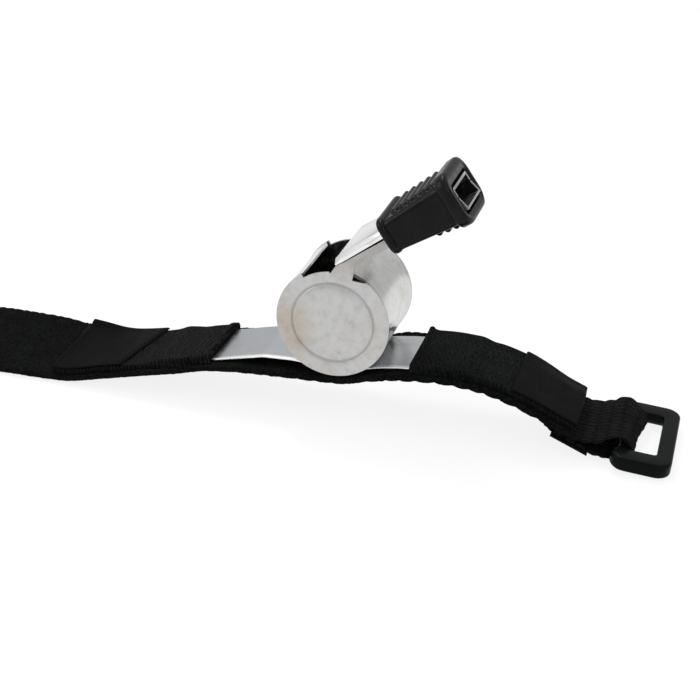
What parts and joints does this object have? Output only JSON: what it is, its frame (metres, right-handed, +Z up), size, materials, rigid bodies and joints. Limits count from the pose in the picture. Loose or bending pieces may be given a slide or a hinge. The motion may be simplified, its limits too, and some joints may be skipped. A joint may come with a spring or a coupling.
{
  "type": "finger whistle with hook-and-loop strap",
  "caption": "Metal pea whistle soldered to a sprung plate on a black hook-and-loop finger strap, with a rubber mouth grip, sewn sleeves and a plastic ring.",
  "frame": {"origin": "middle of the footprint, on the surface that the strap lies on", "axes": "+X along the strap towards the ring, +Y through the barrel away from the front side plate, +Z up"},
  "size_m": [0.183, 0.0234, 0.0516],
  "materials": {
    "plated_metal": "polished, worn in places",
    "solder": "dull solder",
    "grip_rubber": "satin",
    "cork": "matte cork",
    "loop_tape": "napped loop pile",
    "sleeve_cloth": "twill",
    "label_satin": "smooth satin weave",
    "thread": "sewing thread",
    "webbing": "ribbed weave",
    "ring_plastic": "satin",
    "hook_tape": "fine hooks"
  },
  "bodies": {
    "whistle": {"front_cheek": "plated_metal", "rear_cheek": "plated_metal", "barrel_wall": "plated_metal", "windway_floor": "plated_metal", "windway_roof": "plated_metal", "solder_fillets": "solder", "mouth_grip": "grip_rubber", "finger_plate": "plated_metal", "strap_middle": "loop_tape", "left_sleeve": "sleeve_cloth", "right_sleeve": "sleeve_cloth", "left_label": "label_satin", "left_label_stitches": "thread", "left_sleeve_stitches": "thread", "right_sleeve_stitches": "thread"},
    "rolling_pea": {"pea": "cork"},
    "ring_side": {"strap_right_end": "loop_tape", "right_sleeve_end": "sleeve_cloth", "right_label": "label_satin", "label_flap": "label_satin", "right_label_stitches": "thread", "webbing_tab": "webbing"},
    "ring": {"strap_ring": "ring_plastic"},
    "tail": {"strap_tail": "loop_tape"},
    "tail_end": {"strap_tail_tip": "loop_tape", "hook_patch": "hook_tape", "hook_stitches": "thread"}
  },
  "joints": [
    {"name": "pea_orbit", "type": "hinge", "parent": "whistle", "child": "rolling_pea", "pos_m": [0.02653, 0, 0.0214], "axis": [0, 1, 0], "continuous": true},
    {"name": "ring_side_bend", "type": "hinge", "parent": "whistle", "child": "ring_side", "pos_m": [0.06003, 0, 0.00996], "axis": [0, 1, 0], "range_deg": [0, 75]},
    {"name": "ring_swing", "type": "hinge", "parent": "ring_side", "child": "ring", "pos_m": [0.08233, 0, 0.0021], "axis": [0, -1, 0], "range_deg": [-80, 110]},
    {"name": "tail_bend", "type": "hinge", "parent": "whistle", "child": "tail", "pos_m": [-0.03412, 0.00013, 0.00203], "axis": [0, -0.9789, -0.2045], "range_deg": [0, 75]},
    {"name": "tail_end_bend", "type": "hinge", "parent": "tail", "child": "tail_end", "pos_m": [-0.05542, 0.00015, 0.00227], "axis": [0, -0.9711, -0.2386], "range_deg": [0, 75]}
  ]
}
